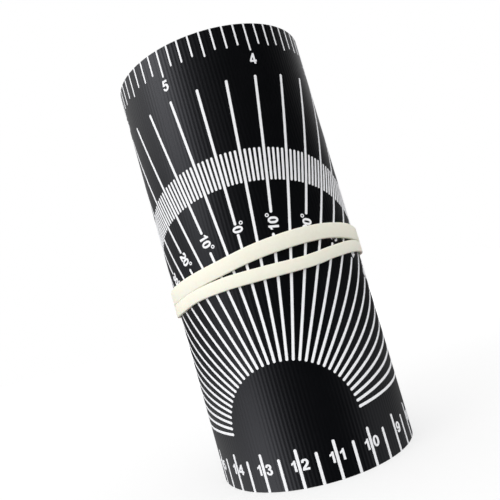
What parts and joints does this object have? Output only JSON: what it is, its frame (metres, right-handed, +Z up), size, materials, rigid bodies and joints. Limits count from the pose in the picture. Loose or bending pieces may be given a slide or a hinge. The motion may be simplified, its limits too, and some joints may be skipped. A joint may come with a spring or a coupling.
{
  "type": "pipe diameter tape",
  "caption": "Flexible black ruler strip with inch, centimetre and protractor scales, rolled into an open tube and held by a doubled flat rubber band.",
  "frame": {"origin": "middle of the overall footprint, at the level of the edge that the roll stands on; the roll's axis is 0.3 mm to its left and 0.8 mm in front of it", "axes": "+Z up along the roll's axis, -Y towards the side whose protractor fan faces the viewer, +X to the viewer's right"},
  "size_m": [0.0607, 0.0623, 0.122],
  "materials": {
    "black_sheet": "satin, finely ribbed",
    "white_print": "matte ink",
    "cream_rubber": "matte"
  },
  "bodies": {
    "root": {"ruler_strip": "black_sheet", "rubber_band": "cream_rubber"}
  },
  "joints": []
}
